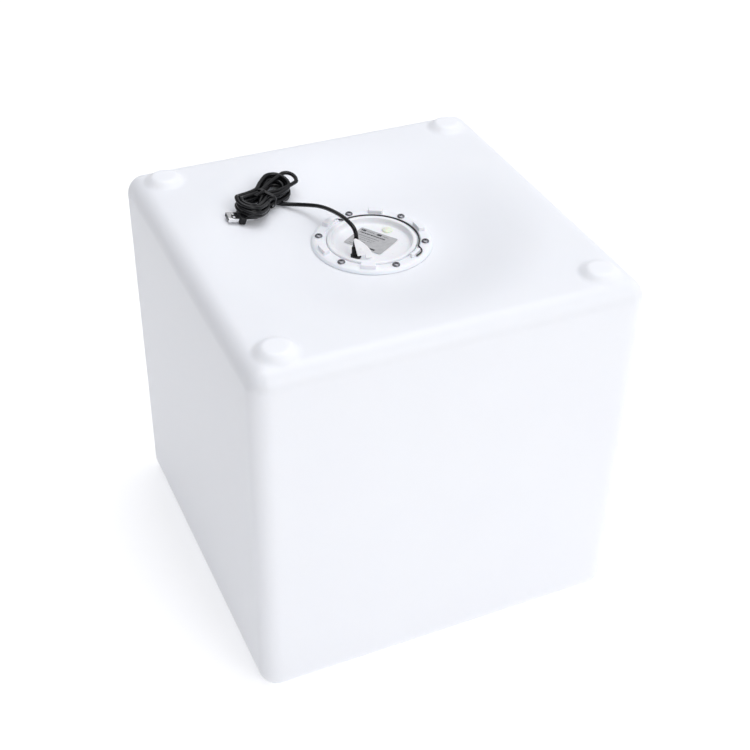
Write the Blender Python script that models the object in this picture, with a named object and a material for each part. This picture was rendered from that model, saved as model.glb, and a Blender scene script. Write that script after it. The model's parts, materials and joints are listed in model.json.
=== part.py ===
"""Floating pool light: a hollow glowing cube, resting upside down with its base and lamp unit facing up.

Metres, +Z up. The origin is the middle of the face that the cube rests on. The base, with its four
feet, its dish and the round lamp unit, is the upper face. A charging lead is plugged into the lamp unit.
"""

import math

import bmesh
import bpy
from mathutils import Euler, Matrix, Vector

MM = 0.001

# The cube
SIDE = 400 * MM
EDGE_RADIUS = 20 * MM
WALL = 4 * MM
DISH_DEPTH = 20.5 * MM
DISH_FLAT_RADIUS = 66 * MM
DISH_OUTER_RADIUS = 182 * MM
FOOT_OFFSET = 164 * MM
FOOT_RADIUS = 22 * MM
FOOT_HEIGHT = 6.5 * MM

# The mouth of the cube and the ring screwed over it
PAD_Z = SIDE - DISH_DEPTH
NECK_RADIUS = 47 * MM
NECK_OUTER_RADIUS = 62 * MM
NECK_DEPTH = 12.5 * MM
RING_RADIUS = 61 * MM
RING_THICKNESS = 2.5 * MM
GASKET_THICKNESS = 0.8 * MM
SCREW_CIRCLE_RADIUS = 53.6 * MM
SCREW_ANGLES = [math.radians(32.3 + 60 * k) for k in range(6)]
LUG_ANGLES = [math.radians(2.3 + 60 * k) for k in range(6)]
LUG_HALF_ANGLE = math.radians(8)
LUG_HEIGHT = 4 * MM
HOOK_LUG = 5
WIRE_RADIUS = 0.95 * MM
WIRE_PATH_RADIUS = 47.5 * MM

# The lamp unit
CAP_RADIUS = 45.5 * MM
CAP_RIM_Z = 384 * MM
BOWL_FLOOR_Z = 377.5 * MM
FLOOR_THICKNESS = 3 * MM
SKIRT_BOTTOM_Z = 362 * MM
HOUSING_RADIUS = 41.7 * MM
HOUSING_WALL = 2 * MM
HOUSING_BOTTOM_Z = 329.6 * MM
DOME_BOTTOM_Z = 300 * MM
BAYONET_ANGLES = [math.radians(61.7 + 120 * k) for k in range(3)]
UNLOCK_ANGLE = math.radians(30)
BOSS_ANGLES = [math.radians(2.3 + 120 * k) for k in range(3)]
BOSS_CIRCLE_RADIUS = 34 * MM
BOARD_THICKNESS = 1.6 * MM
BOARD_TOP_Z = 365.5 * MM
CELL_RADIUS = 9.2 * MM
CELL_LENGTH = 65 * MM
CELL_Z = 350.5 * MM

# What the bowl holds
JACK = Vector((-24.6 * MM, -16.8 * MM, BOWL_FLOOR_Z))
JACK_RADIUS = 3.9 * MM
NUT_RADIUS = 5.3 * MM
NUT_HEIGHT = 3.2 * MM
BUTTON = Vector((25.5 * MM, 18.5 * MM, BOWL_FLOOR_Z))
BUTTON_RADIUS = 5.4 * MM
BUTTON_HEIGHT = 1.8 * MM
LABEL_CENTRE = Vector((1.4 * MM, 5.4 * MM, BOWL_FLOOR_Z))
LABEL_SIZE = (43.5 * MM, 34.5 * MM)
LABEL_TURN = math.radians(-56.3)

# The charging lead
CORD_RADIUS = 2.1 * MM
PLUG_RADIUS = 4.3 * MM
PLUG_LENGTH = 9 * MM
BARREL_RADIUS = 2.6 * MM
RELIEF_LENGTH = 10.5 * MM
LEAD_ROUTE = [
    (-24.6, -16.8, 401.6),
    (-24.7, -15.9, 404.6),
    (-24.9, -13.2, 407.4),
    (-25.4, -8.4, 409.2),
    (-26.2, -1.0, 409.8),
    (-27.0, 10.0, 409.0),
    (-27.8, 26.5, 405.4),
    (-29.5, 45.9, 400.2),
    (-33.0, 60.5, 396.0),
    (-38.5, 72.5, 392.0),
    (-45.8, 80.8, 389.8),
    (-54.5, 86.6, 389.0),
    (-60.9, 90.2, 388.9),
]
HANK_CENTRE = Vector((-81.4 * MM, 91.7 * MM, 392.8 * MM))
HANK_TURN = math.radians(40.3)
HANK_TILT = math.radians(15.5)
HANK_LENGTH = 84 * MM
HANK_LOBE_RADIUS = 15.5 * MM
HANK_WAIST = 11.5 * MM
HANK_THICKNESS = 19 * MM
USB_TIP = Vector((-110.5 * MM, 68 * MM, 396.2 * MM))
USB_LIE = Euler((math.radians(8), math.radians(12.5), 0))
USB_GRIP_SIZE = (7 * MM, 16 * MM, 8 * MM)
USB_SHELL_SIZE = (11.5 * MM, 12 * MM, 4.5 * MM)

GAP = 0.3 * MM


def polar(radius, angle, z=0.0):
    return Vector((radius * math.cos(angle), radius * math.sin(angle), z))


def dish_z(radius):
    """Height of the base's outer surface this far from the middle: flat, then a soft rise to the rim."""
    span = (radius - DISH_FLAT_RADIUS) / (DISH_OUTER_RADIUS - DISH_FLAT_RADIUS)
    span = min(max(span, 0.0), 1.0)
    return SIDE - DISH_DEPTH * 0.5 * (1 + math.cos(math.pi * span))


def make_material(name, colour, roughness, metallic=0.0):
    material = bpy.data.materials.new(name)
    material.use_nodes = True
    shader = material.node_tree.nodes["Principled BSDF"]
    shader.inputs["Base Color"].default_value = (*colour, 1.0)
    shader.inputs["Roughness"].default_value = roughness
    shader.inputs["Metallic"].default_value = metallic
    material.diffuse_color = (*colour, 1.0)
    return material


def add_object(name, data, material):
    obj = bpy.data.objects.new(name, data)
    data.materials.append(material)
    bpy.context.scene.collection.objects.link(obj)
    return obj


def add_bmesh(name, bm, material, smooth=True):
    bmesh.ops.remove_doubles(bm, verts=bm.verts, dist=1e-7)
    bmesh.ops.recalc_face_normals(bm, faces=bm.faces)
    mesh = bpy.data.meshes.new(name)
    bm.to_mesh(mesh)
    bm.free()
    if smooth:
        mesh.shade_smooth()
        mesh.set_sharp_from_angle(angle=math.radians(35))
    return add_object(name, mesh, material)


def loft(bm, loops, closed):
    """Faces between neighbouring loops of points, and back from the last to the first if closed."""
    rows = [[bm.verts.new(point) for point in loop] for loop in loops]
    pairs = list(zip(rows, rows[1:]))
    if closed:
        pairs.append((rows[-1], rows[0]))
    for row, above in pairs:
        for i in range(len(row)):
            j = (i + 1) % len(row)
            bm.faces.new((row[i], row[j], above[j], above[i]))
    return rows


def turned(name, profile, material, segments=48, location=(0, 0, 0)):
    """A turned solid. The profile's (radius, z) points run once round the section, or from axis to axis."""
    bm = bmesh.new()
    turns = [2 * math.pi * k / segments for k in range(segments)]
    loops = [[polar(radius, turn, z) for turn in turns] for radius, z in profile]
    on_axis = profile[0][0] == 0 and profile[-1][0] == 0
    loft(bm, loops, closed=not on_axis)
    obj = add_bmesh(name, bm, material)
    obj.location = location
    return obj


def disc_profile(radius, bottom, top):
    return [(0, top), (radius, top), (radius, bottom), (0, bottom)]


def tube_profile(inner, outer, bottom, top):
    return [(inner, top), (outer, top), (outer, bottom), (inner, bottom)]


def block(name, size, centre, material, bevel=0.0, turn=0.0, segments=2):
    bm = bmesh.new()
    bmesh.ops.create_cube(bm, size=1.0, matrix=Matrix.Diagonal((*size, 1.0)))
    if bevel:
        bmesh.ops.bevel(bm, geom=bm.edges, offset=bevel, segments=segments, affect="EDGES", profile=0.5)
    obj = add_bmesh(name, bm, material)
    obj.location = centre
    obj.rotation_euler = Euler((0, 0, turn))
    return obj


def prism(name, outline, thickness, material, bevel=0.0):
    """The outline in the XY plane, extruded up by the thickness."""
    bm = bmesh.new()
    loops = [[Vector((x, y, z)) for x, y in outline] for z in (0.0, thickness)]
    rows = loft(bm, loops, closed=False)
    for row in rows:
        bm.faces.new(row)
    bmesh.ops.recalc_face_normals(bm, faces=bm.faces)
    if bevel:
        rims = [edge for edge in bm.edges if abs(edge.verts[0].co.z - edge.verts[1].co.z) < 1e-9]
        bmesh.ops.bevel(bm, geom=rims, offset=bevel, segments=2, affect="EDGES", profile=0.5)
    return add_bmesh(name, bm, material)


def sector(name, inner, outer, bottom, top, middle, half_angle, material, steps=6):
    """An arc-shaped block round the Z axis."""
    bm = bmesh.new()
    loops = []
    for k in range(steps + 1):
        angle = middle + half_angle * (2 * k / steps - 1)
        corners = [(inner, bottom), (outer, bottom), (outer, top), (inner, top)]
        loops.append([polar(radius, angle, z) for radius, z in corners])
    rows = loft(bm, loops, closed=False)
    bm.faces.new(rows[0])
    bm.faces.new(rows[-1])
    return add_bmesh(name, bm, material)


def boolean(obj, helper, operation):
    modifier = obj.modifiers.new(helper.name, "BOOLEAN")
    modifier.operation = operation
    modifier.object = helper
    helper.hide_render = True
    helper.display_type = "WIRE"


def cut(obj, helper):
    boolean(obj, helper, "DIFFERENCE")


def join(obj, helper):
    boolean(obj, helper, "UNION")


def smooth_route(points, steps_per_span=4):
    """Points along a Catmull-Rom curve through the given ones."""
    points = [Vector(p) for p in points]
    ends = [2 * points[0] - points[1]] + points + [2 * points[-1] - points[-2]]
    route = []
    for a, b, c, d in zip(ends, ends[1:], ends[2:], ends[3:]):
        for k in range(steps_per_span):
            t = k / steps_per_span
            even = 2 * b + (2 * a - 5 * b + 4 * c - d) * t * t
            odd = (c - a) * t + (3 * b - a - 3 * c + d) * t ** 3
            route.append((even + odd) / 2)
    route.append(points[-1])
    return route


def round_wire(name, points, radius, material, resolution=2):
    curve = bpy.data.curves.new(name, "CURVE")
    curve.dimensions = "3D"
    curve.bevel_depth = radius
    curve.bevel_resolution = resolution
    curve.use_fill_caps = True
    spline = curve.splines.new("POLY")
    spline.points.add(len(points) - 1)
    for target, point in zip(spline.points, points):
        target.co = (*point, 1.0)
    return add_object(name, curve, material)


def joint_axis(name, location, parent=None):
    """The empty that a moving group turns or slides on."""
    empty = bpy.data.objects.new(name, None)
    empty.location = location
    bpy.context.scene.collection.objects.link(empty)
    if parent:
        attach(parent, empty)
    return empty


def attach(parent, *children):
    """Parents each child, which keeps its place in the world."""
    for child in children:
        child.parent = parent
        child.matrix_parent_inverse = Matrix.Translation(-parent.location)


def rounded_square(corner, radius, z, straight=4, arc=4):
    """48 points round a square whose corner circles are centred at (corner, corner)."""
    quarter = [Vector((corner + radius, corner * k / straight, z)) for k in range(straight)]
    for k in range(arc + 1):
        quarter.append(Vector((corner, corner, z)) + polar(radius, math.pi / 2 * k / arc))
    quarter += [Vector((corner * k / straight, corner + radius, z)) for k in range(straight - 1, 0, -1)]
    turns = [Matrix.Rotation(math.pi / 2 * k, 3, "Z") for k in range(4)]
    return [turn @ point for turn in turns for point in quarter]


def circle(radius, z, count=48):
    return [polar(radius, 2 * math.pi * k / count, z) for k in range(count)]


def dished_face(corner, drop, radii):
    """Loops from a square's edge in to the dish's flat middle, the surface lowered by drop."""
    square = rounded_square(corner, 0.0, 0.0)
    rim = circle(150 * MM, 0.0)
    loops = []
    for mix in (0.5, 1.0):
        flat = [a.lerp(b, mix) for a, b in zip(square, rim)]
        loops.append([Vector((p.x, p.y, dish_z(p.to_2d().length) - drop)) for p in flat])
    for radius in radii:
        loops.append(circle(radius * MM, dish_z(radius * MM) - drop))
    return loops


def make_shell(material):
    """One hollow moulding: rounded cube, dished base, feet, and a thick neck round the mouth."""
    corner = SIDE / 2 - EDGE_RADIUS
    inner_radius = EDGE_RADIUS - WALL
    bend = [math.pi / 2 * k / 4 for k in range(5)]
    outside = []
    for angle in bend:
        low = EDGE_RADIUS * (1 - math.cos(angle))
        outside.append(rounded_square(corner, EDGE_RADIUS * math.sin(angle), low))
    for angle in reversed(bend):
        high = SIDE - EDGE_RADIUS * (1 - math.cos(angle))
        outside.append(rounded_square(corner, EDGE_RADIUS * math.sin(angle), high))
    outside += dished_face(corner, 0.0, (138, 126, 114, 102, 90, 78))
    neck_bottom = PAD_Z - NECK_DEPTH
    mouth = [
        circle(DISH_FLAT_RADIUS, PAD_Z),
        circle(NECK_RADIUS, PAD_Z),
        circle(NECK_RADIUS, neck_bottom),
        circle(NECK_OUTER_RADIUS, neck_bottom),
        circle(DISH_FLAT_RADIUS, PAD_Z - WALL),
    ]
    inside = list(reversed(dished_face(corner, WALL, (126, 104, 84))))
    for angle in bend[::2]:
        high = SIDE - EDGE_RADIUS + inner_radius * math.cos(angle)
        inside.append(rounded_square(corner, inner_radius * math.sin(angle), high))
    for angle in reversed(bend[::2]):
        low = EDGE_RADIUS - inner_radius * math.cos(angle)
        inside.append(rounded_square(corner, inner_radius * math.sin(angle), low))
    bm = bmesh.new()
    rows = loft(bm, outside + mouth + inside, closed=False)
    bm.faces.new(rows[0])
    bm.faces.new(rows[-1])
    shell = add_bmesh("shell", bm, material)
    foot = [
        (0, SIDE - 4 * MM),
        (FOOT_RADIUS, SIDE - 4 * MM),
        (FOOT_RADIUS, SIDE + 0.1 * FOOT_HEIGHT),
        (FOOT_RADIUS - 1.2 * MM, SIDE + 0.45 * FOOT_HEIGHT),
        (FOOT_RADIUS - 3.6 * MM, SIDE + 0.78 * FOOT_HEIGHT),
        (FOOT_RADIUS - 7.0 * MM, SIDE + 0.95 * FOOT_HEIGHT),
        (FOOT_RADIUS - 10.0 * MM, SIDE + FOOT_HEIGHT),
        (0, SIDE + FOOT_HEIGHT),
    ]
    for k, (x, y) in enumerate(((1, 1), (-1, 1), (-1, -1), (1, -1))):
        place = (x * FOOT_OFFSET, y * FOOT_OFFSET, 0)
        join(shell, turned(f"foot_form_{k + 1}", foot, material, 24, place))
    for k, angle in enumerate(SCREW_ANGLES):
        hole = disc_profile(2.25 * MM, PAD_Z - 11 * MM, PAD_Z + 2 * MM)
        place = polar(SCREW_CIRCLE_RADIUS, angle)
        cut(shell, turned(f"screw_hole_form_{k + 1}", hole, material, 12, place))
    for k, angle in enumerate(BAYONET_ANGLES):
        notch = (44 * MM, 50 * MM, neck_bottom - 2 * MM, PAD_Z + 2 * MM, angle + UNLOCK_ANGLE)
        cut(shell, sector(f"notch_form_{k + 1}", *notch, math.radians(14), material))
    return shell


def make_ring(material):
    """The ring over the mouth: inner ledge for the wire, raised lugs, screw holes, one slot."""
    bottom = PAD_Z + GASKET_THICKNESS + 2 * GAP
    top = bottom + RING_THICKNESS
    profile = [
        (46.3 * MM, bottom),
        (46.3 * MM, bottom + 1 * MM),
        (49 * MM, bottom + 1 * MM),
        (49 * MM, top),
        (RING_RADIUS - 0.6 * MM, top),
        (RING_RADIUS, top - 0.6 * MM),
        (RING_RADIUS, bottom),
    ]
    ring = turned("mounting_ring", profile, material)
    for k, angle in enumerate(LUG_ANGLES):
        outer = (53.4 if k == HOOK_LUG else 56.5) * MM
        lug = (49.8 * MM, outer, top - 1 * MM, top + LUG_HEIGHT, angle, LUG_HALF_ANGLE)
        join(ring, sector(f"lug_form_{k + 1}", *lug, material, 4))
    for k, angle in enumerate(SCREW_ANGLES):
        hole = disc_profile(2.3 * MM, bottom - 2 * MM, top + 2 * MM)
        place = polar(SCREW_CIRCLE_RADIUS, angle)
        cut(ring, turned(f"ring_hole_form_{k + 1}", hole, material, 12, place))
    slot_size = (10 * MM, 3.6 * MM, 6 * MM)
    slot = block("slot_form", slot_size, (-14.6 * MM, 47.3 * MM, top), material, turn=math.radians(-32))
    cut(ring, slot)
    return ring


def make_gasket(material):
    bottom = PAD_Z + GAP
    profile = tube_profile(47.6 * MM, 60.4 * MM, bottom, bottom + GASKET_THICKNESS)
    gasket = turned("ring_gasket", profile, material)
    for k, angle in enumerate(SCREW_ANGLES):
        hole = disc_profile(2.3 * MM, bottom - 2 * MM, bottom + 3 * MM)
        place = polar(SCREW_CIRCLE_RADIUS, angle)
        cut(gasket, turned(f"gasket_hole_form_{k + 1}", hole, material, 12, place))
    return gasket


def make_screws(material):
    """Pan-head screws with a cross recess, clamping the ring and its gasket to the neck."""
    head_z = PAD_Z + GASKET_THICKNESS + RING_THICKNESS + 3 * GAP
    profile = [
        (0, head_z + 1.9 * MM),
        (2.2 * MM, head_z + 1.8 * MM),
        (3.4 * MM, head_z + 1.3 * MM),
        (3.9 * MM, head_z + 0.5 * MM),
        (3.9 * MM, head_z),
        (1.9 * MM, head_z),
        (1.9 * MM, head_z - 12.5 * MM),
        (0, head_z - 13.5 * MM),
    ]
    screws = []
    for k, angle in enumerate(SCREW_ANGLES):
        place = polar(SCREW_CIRCLE_RADIUS, angle)
        screw = turned(f"ring_screw_{k + 1}", profile, material, 12, place)
        for arm in range(2):
            size = (4.2 * MM, 0.9 * MM, 2 * MM)
            centre = place + Vector((0, 0, head_z + 2 * MM))
            turn = angle + math.pi / 2 * arm
            cut(screw, block(f"cross_form_{k + 1}_{arm + 1}", size, centre, material, turn=turn))
        screws.append(screw)
    return screws


def make_retaining_wire(material):
    """A sprung wire in the gap round the cap: one end drops into the slot, the other hooks round a lug."""
    ledge_z = PAD_Z + GASKET_THICKNESS + 2 * GAP + 1 * MM + GAP + WIRE_RADIUS
    top_z = PAD_Z + GASKET_THICKNESS + 2 * GAP + RING_THICKNESS + GAP + WIRE_RADIUS
    route = [Vector((-16.2 * MM, 48.2 * MM, ledge_z)), Vector((-12.8 * MM, 46.4 * MM, ledge_z))]
    first, last = math.radians(101), math.radians(-35)
    steps = 12
    for k in range(steps + 1):
        angle = first + (last - first) * k / steps
        route.append(polar(WIRE_PATH_RADIUS, angle, ledge_z))
    hook = [(47.9, -39.4), (50.2, -42.8), (53.0, -46.0), (54.9, -50.0), (55.1, -55.5), (55.0, -60.5)]
    for radius, degrees in hook:
        route.append(polar(radius * MM, math.radians(degrees), top_z))
    return round_wire("retaining_wire", smooth_route(route, 2), WIRE_RADIUS, material)


def make_cap(material):
    """The twist-lock cap: a shallow bowl above, a grooved skirt below, three locking lugs."""
    floor_bottom = BOWL_FLOOR_Z - FLOOR_THICKNESS
    profile = [
        (0, BOWL_FLOOR_Z),
        (37.6 * MM, BOWL_FLOOR_Z),
        (39.4 * MM, BOWL_FLOOR_Z + 0.8 * MM),
        (40.4 * MM, BOWL_FLOOR_Z + 2.6 * MM),
        (41.0 * MM, CAP_RIM_Z - 0.6 * MM),
        (41.8 * MM, CAP_RIM_Z),
        (CAP_RADIUS - 0.8 * MM, CAP_RIM_Z),
        (CAP_RADIUS, CAP_RIM_Z - 0.8 * MM),
        (CAP_RADIUS, 371.6 * MM),
        (43.7 * MM, 371.6 * MM),
        (43.7 * MM, 368.0 * MM),
        (CAP_RADIUS, 368.0 * MM),
        (CAP_RADIUS, SKIRT_BOTTOM_Z),
        (42.0 * MM, SKIRT_BOTTOM_Z),
        (42.0 * MM, floor_bottom),
        (0, floor_bottom),
    ]
    cap = turned("lamp_cap", profile, material)
    for k, angle in enumerate(BAYONET_ANGLES):
        lug = (43 * MM, 49.2 * MM, SKIRT_BOTTOM_Z + 0.4 * MM, 366.4 * MM, angle)
        join(cap, sector(f"bayonet_form_{k + 1}", *lug, math.radians(10), material, 4))
    for k, angle in enumerate(BOSS_ANGLES):
        place = polar(BOSS_CIRCLE_RADIUS, angle)
        boss = disc_profile(3 * MM, BOARD_TOP_Z + GAP, floor_bottom + 1 * MM)
        join(cap, turned(f"boss_form_{k + 1}", boss, material, 16, place))
        hole = disc_profile(1.3 * MM, BOARD_TOP_Z - 2 * MM, BOARD_TOP_Z + 7 * MM)
        cut(cap, turned(f"boss_hole_form_{k + 1}", hole, material, 12, place))
    for name, place, radius in (("jack_hole_form", JACK, 4.3 * MM), ("button_hole_form", BUTTON, 5.8 * MM)):
        hole = disc_profile(radius, -6 * MM, 6 * MM)
        cut(cap, turned(name, hole, material, 24, place))
    return cap


def make_seal(material):
    centre_r, centre_z, radius = 45.3 * MM, 369.8 * MM, 1.35 * MM
    turns = [2 * math.pi * k / 6 for k in range(6)]
    profile = [(centre_r + radius * math.cos(t), centre_z + radius * math.sin(t)) for t in turns]
    return turned("cap_seal", profile, material)


def make_label(material):
    size = (*LABEL_SIZE, 0.2 * MM)
    centre = LABEL_CENTRE + Vector((0, 0, GAP + size[2] / 2))
    return block("rating_label", size, centre, material, turn=LABEL_TURN)


def make_button(material):
    """A soft cover with a flange under the bowl's floor and a stem that presses the switch."""
    profile = [
        (0, BUTTON_HEIGHT),
        (3.2 * MM, BUTTON_HEIGHT - 0.15 * MM),
        (BUTTON_RADIUS - 0.5 * MM, BUTTON_HEIGHT - 0.7 * MM),
        (BUTTON_RADIUS, BUTTON_HEIGHT - 1.4 * MM),
        (BUTTON_RADIUS, -FLOOR_THICKNESS - GAP),
        (6.9 * MM, -FLOOR_THICKNESS - GAP),
        (6.9 * MM, -FLOOR_THICKNESS - 1.2 * MM),
        (2.0 * MM, -FLOOR_THICKNESS - 1.2 * MM),
        (2.0 * MM, -5.0 * MM),
        (0, -5.0 * MM),
    ]
    return turned("power_button", profile, material, 24, BUTTON)


def make_jack(body_material, nut_material):
    """The charging jack: its bore takes the barrel round a centre pin. A nut clamps it in the floor."""
    board_side = BOARD_TOP_Z + GAP - BOWL_FLOOR_Z
    under_floor = -FLOOR_THICKNESS - GAP
    profile = [
        (0, board_side),
        (5.6 * MM, board_side),
        (5.6 * MM, under_floor),
        (JACK_RADIUS, under_floor),
        (JACK_RADIUS, 2.6 * MM),
        (2.95 * MM, 2.6 * MM),
        (2.95 * MM, -8.4 * MM),
        (0.9 * MM, -8.4 * MM),
        (0.9 * MM, -1.4 * MM),
        (0, -1.0 * MM),
    ]
    jack = turned("dc_socket", profile, body_material, 24, JACK)
    nut_profile = [
        (JACK_RADIUS + GAP, GAP),
        (NUT_RADIUS, GAP),
        (NUT_RADIUS, NUT_HEIGHT - 0.5 * MM),
        (NUT_RADIUS - 0.5 * MM, NUT_HEIGHT),
        (JACK_RADIUS + GAP, NUT_HEIGHT),
    ]
    return [jack, turned("socket_nut", nut_profile, nut_material, 24, JACK)]


def make_flap(material):
    """The jack's soft dust cover, a tapered tongue that stands folded back against the plug."""
    outline = [
        (-11.0, 0.5),
        (-10.4, 5.0),
        (-11.6, 8.5),
        (-15.5, 14.0),
        (-21.0, 20.0),
        (-26.6, 24.6),
        (-29.0, 24.8),
        (-29.4, 22.4),
        (-27.4, 13.0),
        (-26.0, 6.4),
        (-24.6, 5.2),
        (-17.6, 5.0),
        (-17.0, 0.5),
    ]
    flap = prism("port_flap", [(x * MM, y * MM) for x, y in outline], 1.2 * MM, material, 0.3 * MM)
    flap.location = (0, -23.2 * MM, BOWL_FLOOR_Z)
    flap.rotation_euler = Euler((math.radians(86.5), 0, 0))
    return flap


def make_lamp_insides(plastic, board, metal, cell, lens):
    """What the sealed lamp unit holds, from the cap down to the light."""
    inner = HOUSING_RADIUS - HOUSING_WALL
    housing_profile = [
        (HOUSING_RADIUS, BOWL_FLOOR_Z - FLOOR_THICKNESS - GAP),
        (HOUSING_RADIUS, HOUSING_BOTTOM_Z),
        (36 * MM, HOUSING_BOTTOM_Z),
        (36 * MM, HOUSING_BOTTOM_Z + 2 * MM),
        (inner, HOUSING_BOTTOM_Z + 2 * MM),
        (inner, BOWL_FLOOR_Z - FLOOR_THICKNESS - GAP),
    ]
    housing = turned("lamp_housing", housing_profile, plastic, 32)
    rim = HOUSING_BOTTOM_Z - GAP
    dome_profile = [
        (HOUSING_RADIUS, rim),
        (HOUSING_RADIUS, rim - 7 * MM),
        (39.0 * MM, rim - 16.0 * MM),
        (32.0 * MM, rim - 23.5 * MM),
        (20.0 * MM, rim - 28.0 * MM),
        (0, DOME_BOTTOM_Z),
        (0, DOME_BOTTOM_Z + 2 * MM),
        (19.4 * MM, rim - 26.1 * MM),
        (30.8 * MM, rim - 21.9 * MM),
        (37.2 * MM, rim - 15.1 * MM),
        (inner, rim - 6.7 * MM),
        (inner, rim),
    ]
    bm = bmesh.new()
    turns = [2 * math.pi * k / 32 for k in range(32)]
    loft(bm, [[polar(r, turn, z) for turn in turns] for r, z in dome_profile[:6]], closed=False)
    loft(bm, [[polar(r, turn, z) for turn in turns] for r, z in dome_profile[6:]], closed=False)
    loft(bm, [[polar(r, turn, rim) for turn in turns] for r in (inner, HOUSING_RADIUS)], closed=False)
    dome = add_bmesh("diffuser_dome", bm, lens)

    led_top = HOUSING_BOTTOM_Z + 2 * MM + GAP + BOARD_THICKNESS
    led_board = turned("led_board", disc_profile(39.2 * MM, led_top - BOARD_THICKNESS, led_top), board, 32)
    rows = [(26 * MM, 12), (12 * MM, 6)]
    for radius, count in rows:
        for k in range(count):
            turn = 2 * math.pi * k / count
            centre = polar(radius, turn, led_top - BOARD_THICKNESS - 0.6 * MM)
            name = f"led_form_{count}_{k + 1}"
            join(led_board, block(name, (5 * MM, 5 * MM, 1.6 * MM), centre, board, turn=turn))

    driver_profile = disc_profile(38.5 * MM, BOARD_TOP_Z - BOARD_THICKNESS, BOARD_TOP_Z)
    driver = turned("driver_board", driver_profile, board, 32)
    for k, angle in enumerate(BOSS_ANGLES):
        hole = disc_profile(1.4 * MM, BOARD_TOP_Z - 4 * MM, BOARD_TOP_Z + 2 * MM)
        place = polar(BOSS_CIRCLE_RADIUS, angle)
        cut(driver, turned(f"board_hole_form_{k + 1}", hole, board, 12, place))
    screw_profile = [
        (0, BOARD_TOP_Z + 5.5 * MM),
        (1.0 * MM, BOARD_TOP_Z + 5.0 * MM),
        (1.0 * MM, BOARD_TOP_Z - BOARD_THICKNESS - GAP),
        (2.3 * MM, BOARD_TOP_Z - BOARD_THICKNESS - GAP),
        (2.3 * MM, BOARD_TOP_Z - BOARD_THICKNESS - 1.7 * MM),
        (0, BOARD_TOP_Z - BOARD_THICKNESS - 1.9 * MM),
    ]
    board_screws = []
    for k, angle in enumerate(BOSS_ANGLES):
        place = polar(BOSS_CIRCLE_RADIUS, angle)
        board_screws.append(turned(f"board_screw_{k + 1}", screw_profile, metal, 12, place))

    switch_base = BOARD_TOP_Z + GAP
    switch_centre = Vector((BUTTON.x, BUTTON.y, switch_base + 1.75 * MM))
    switch_size = (6 * MM, 6 * MM, 3.5 * MM)
    switch = block("button_switch", switch_size, switch_centre, metal, bevel=0.4 * MM, segments=1)
    stem = turned("switch_stem_form", disc_profile(1.7 * MM, 2 * MM, 5.3 * MM), metal, 12,
                  (BUTTON.x, BUTTON.y, switch_base))
    join(switch, stem)

    cells = []
    for k, side in enumerate((-1, 1)):
        profile = [
            (0, CELL_LENGTH / 2),
            (CELL_RADIUS - 0.8 * MM, CELL_LENGTH / 2),
            (CELL_RADIUS, CELL_LENGTH / 2 - 0.8 * MM),
            (CELL_RADIUS, -CELL_LENGTH / 2 + 0.8 * MM),
            (CELL_RADIUS - 0.8 * MM, -CELL_LENGTH / 2),
            (0, -CELL_LENGTH / 2),
        ]
        can = turned(f"battery_cell_{k + 1}", profile, cell, 24, (0, side * (CELL_RADIUS + GAP), CELL_Z))
        can.rotation_euler = Euler((0, math.radians(90), 0))
        cells.append(can)

    tray_top = CELL_Z - CELL_RADIUS - GAP
    tray = block("battery_tray", (66 * MM, 37 * MM, 2 * MM), (0, 0, tray_top - 1 * MM), plastic)
    wall_height = 11 * MM
    for k, side in enumerate((-1, 1)):
        centre = (side * (CELL_LENGTH / 2 + GAP + 1 * MM), 0, tray_top - 1 * MM + wall_height / 2)
        join(tray, block(f"tray_wall_form_{k + 1}", (2 * MM, 26 * MM, wall_height), centre, plastic))
    leg_height = tray_top - 1 * MM - led_top - GAP
    for k, (x, y) in enumerate(((1, 1), (-1, 1), (-1, -1), (1, -1))):
        centre = (x * 24 * MM, y * 12 * MM, led_top + GAP + leg_height / 2)
        join(tray, block(f"tray_leg_form_{k + 1}", (4 * MM, 4 * MM, leg_height), centre, plastic))
    return [housing, dome, led_board, driver, *board_screws, switch, *cells, tray]


def make_inner_wires(red, black):
    """Leads from the cells up to the driver board, and from the driver board down to the lamp board."""
    up = BOARD_TOP_Z - BOARD_THICKNESS - GAP
    down = HOUSING_BOTTOM_Z + 2 * MM + 2 * GAP + BOARD_THICKNESS
    wires = []
    ends = (("battery_lead_red", red, -1), ("battery_lead_black", black, 1))
    for name, material, side in ends:
        start = (side * 20 * MM, 24 * MM, down + 4 * MM)
        route = [start, (side * 22 * MM, 28 * MM, down + 10 * MM), (side * 21 * MM, 28 * MM, up - 8 * MM)]
        route.append((side * 18 * MM, 24 * MM, up - 1.2 * MM))
        wires.append(round_wire(name, smooth_route(route, 3), 0.8 * MM, material))
    route = [
        (0, -27 * MM, down),
        (1 * MM, -28 * MM, down + 8 * MM),
        (-1 * MM, -28.5 * MM, up - 9 * MM),
        (0, -27 * MM, up),
    ]
    wires.append(round_wire("led_lead", smooth_route(route, 3), 1.0 * MM, black))
    return wires


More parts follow.
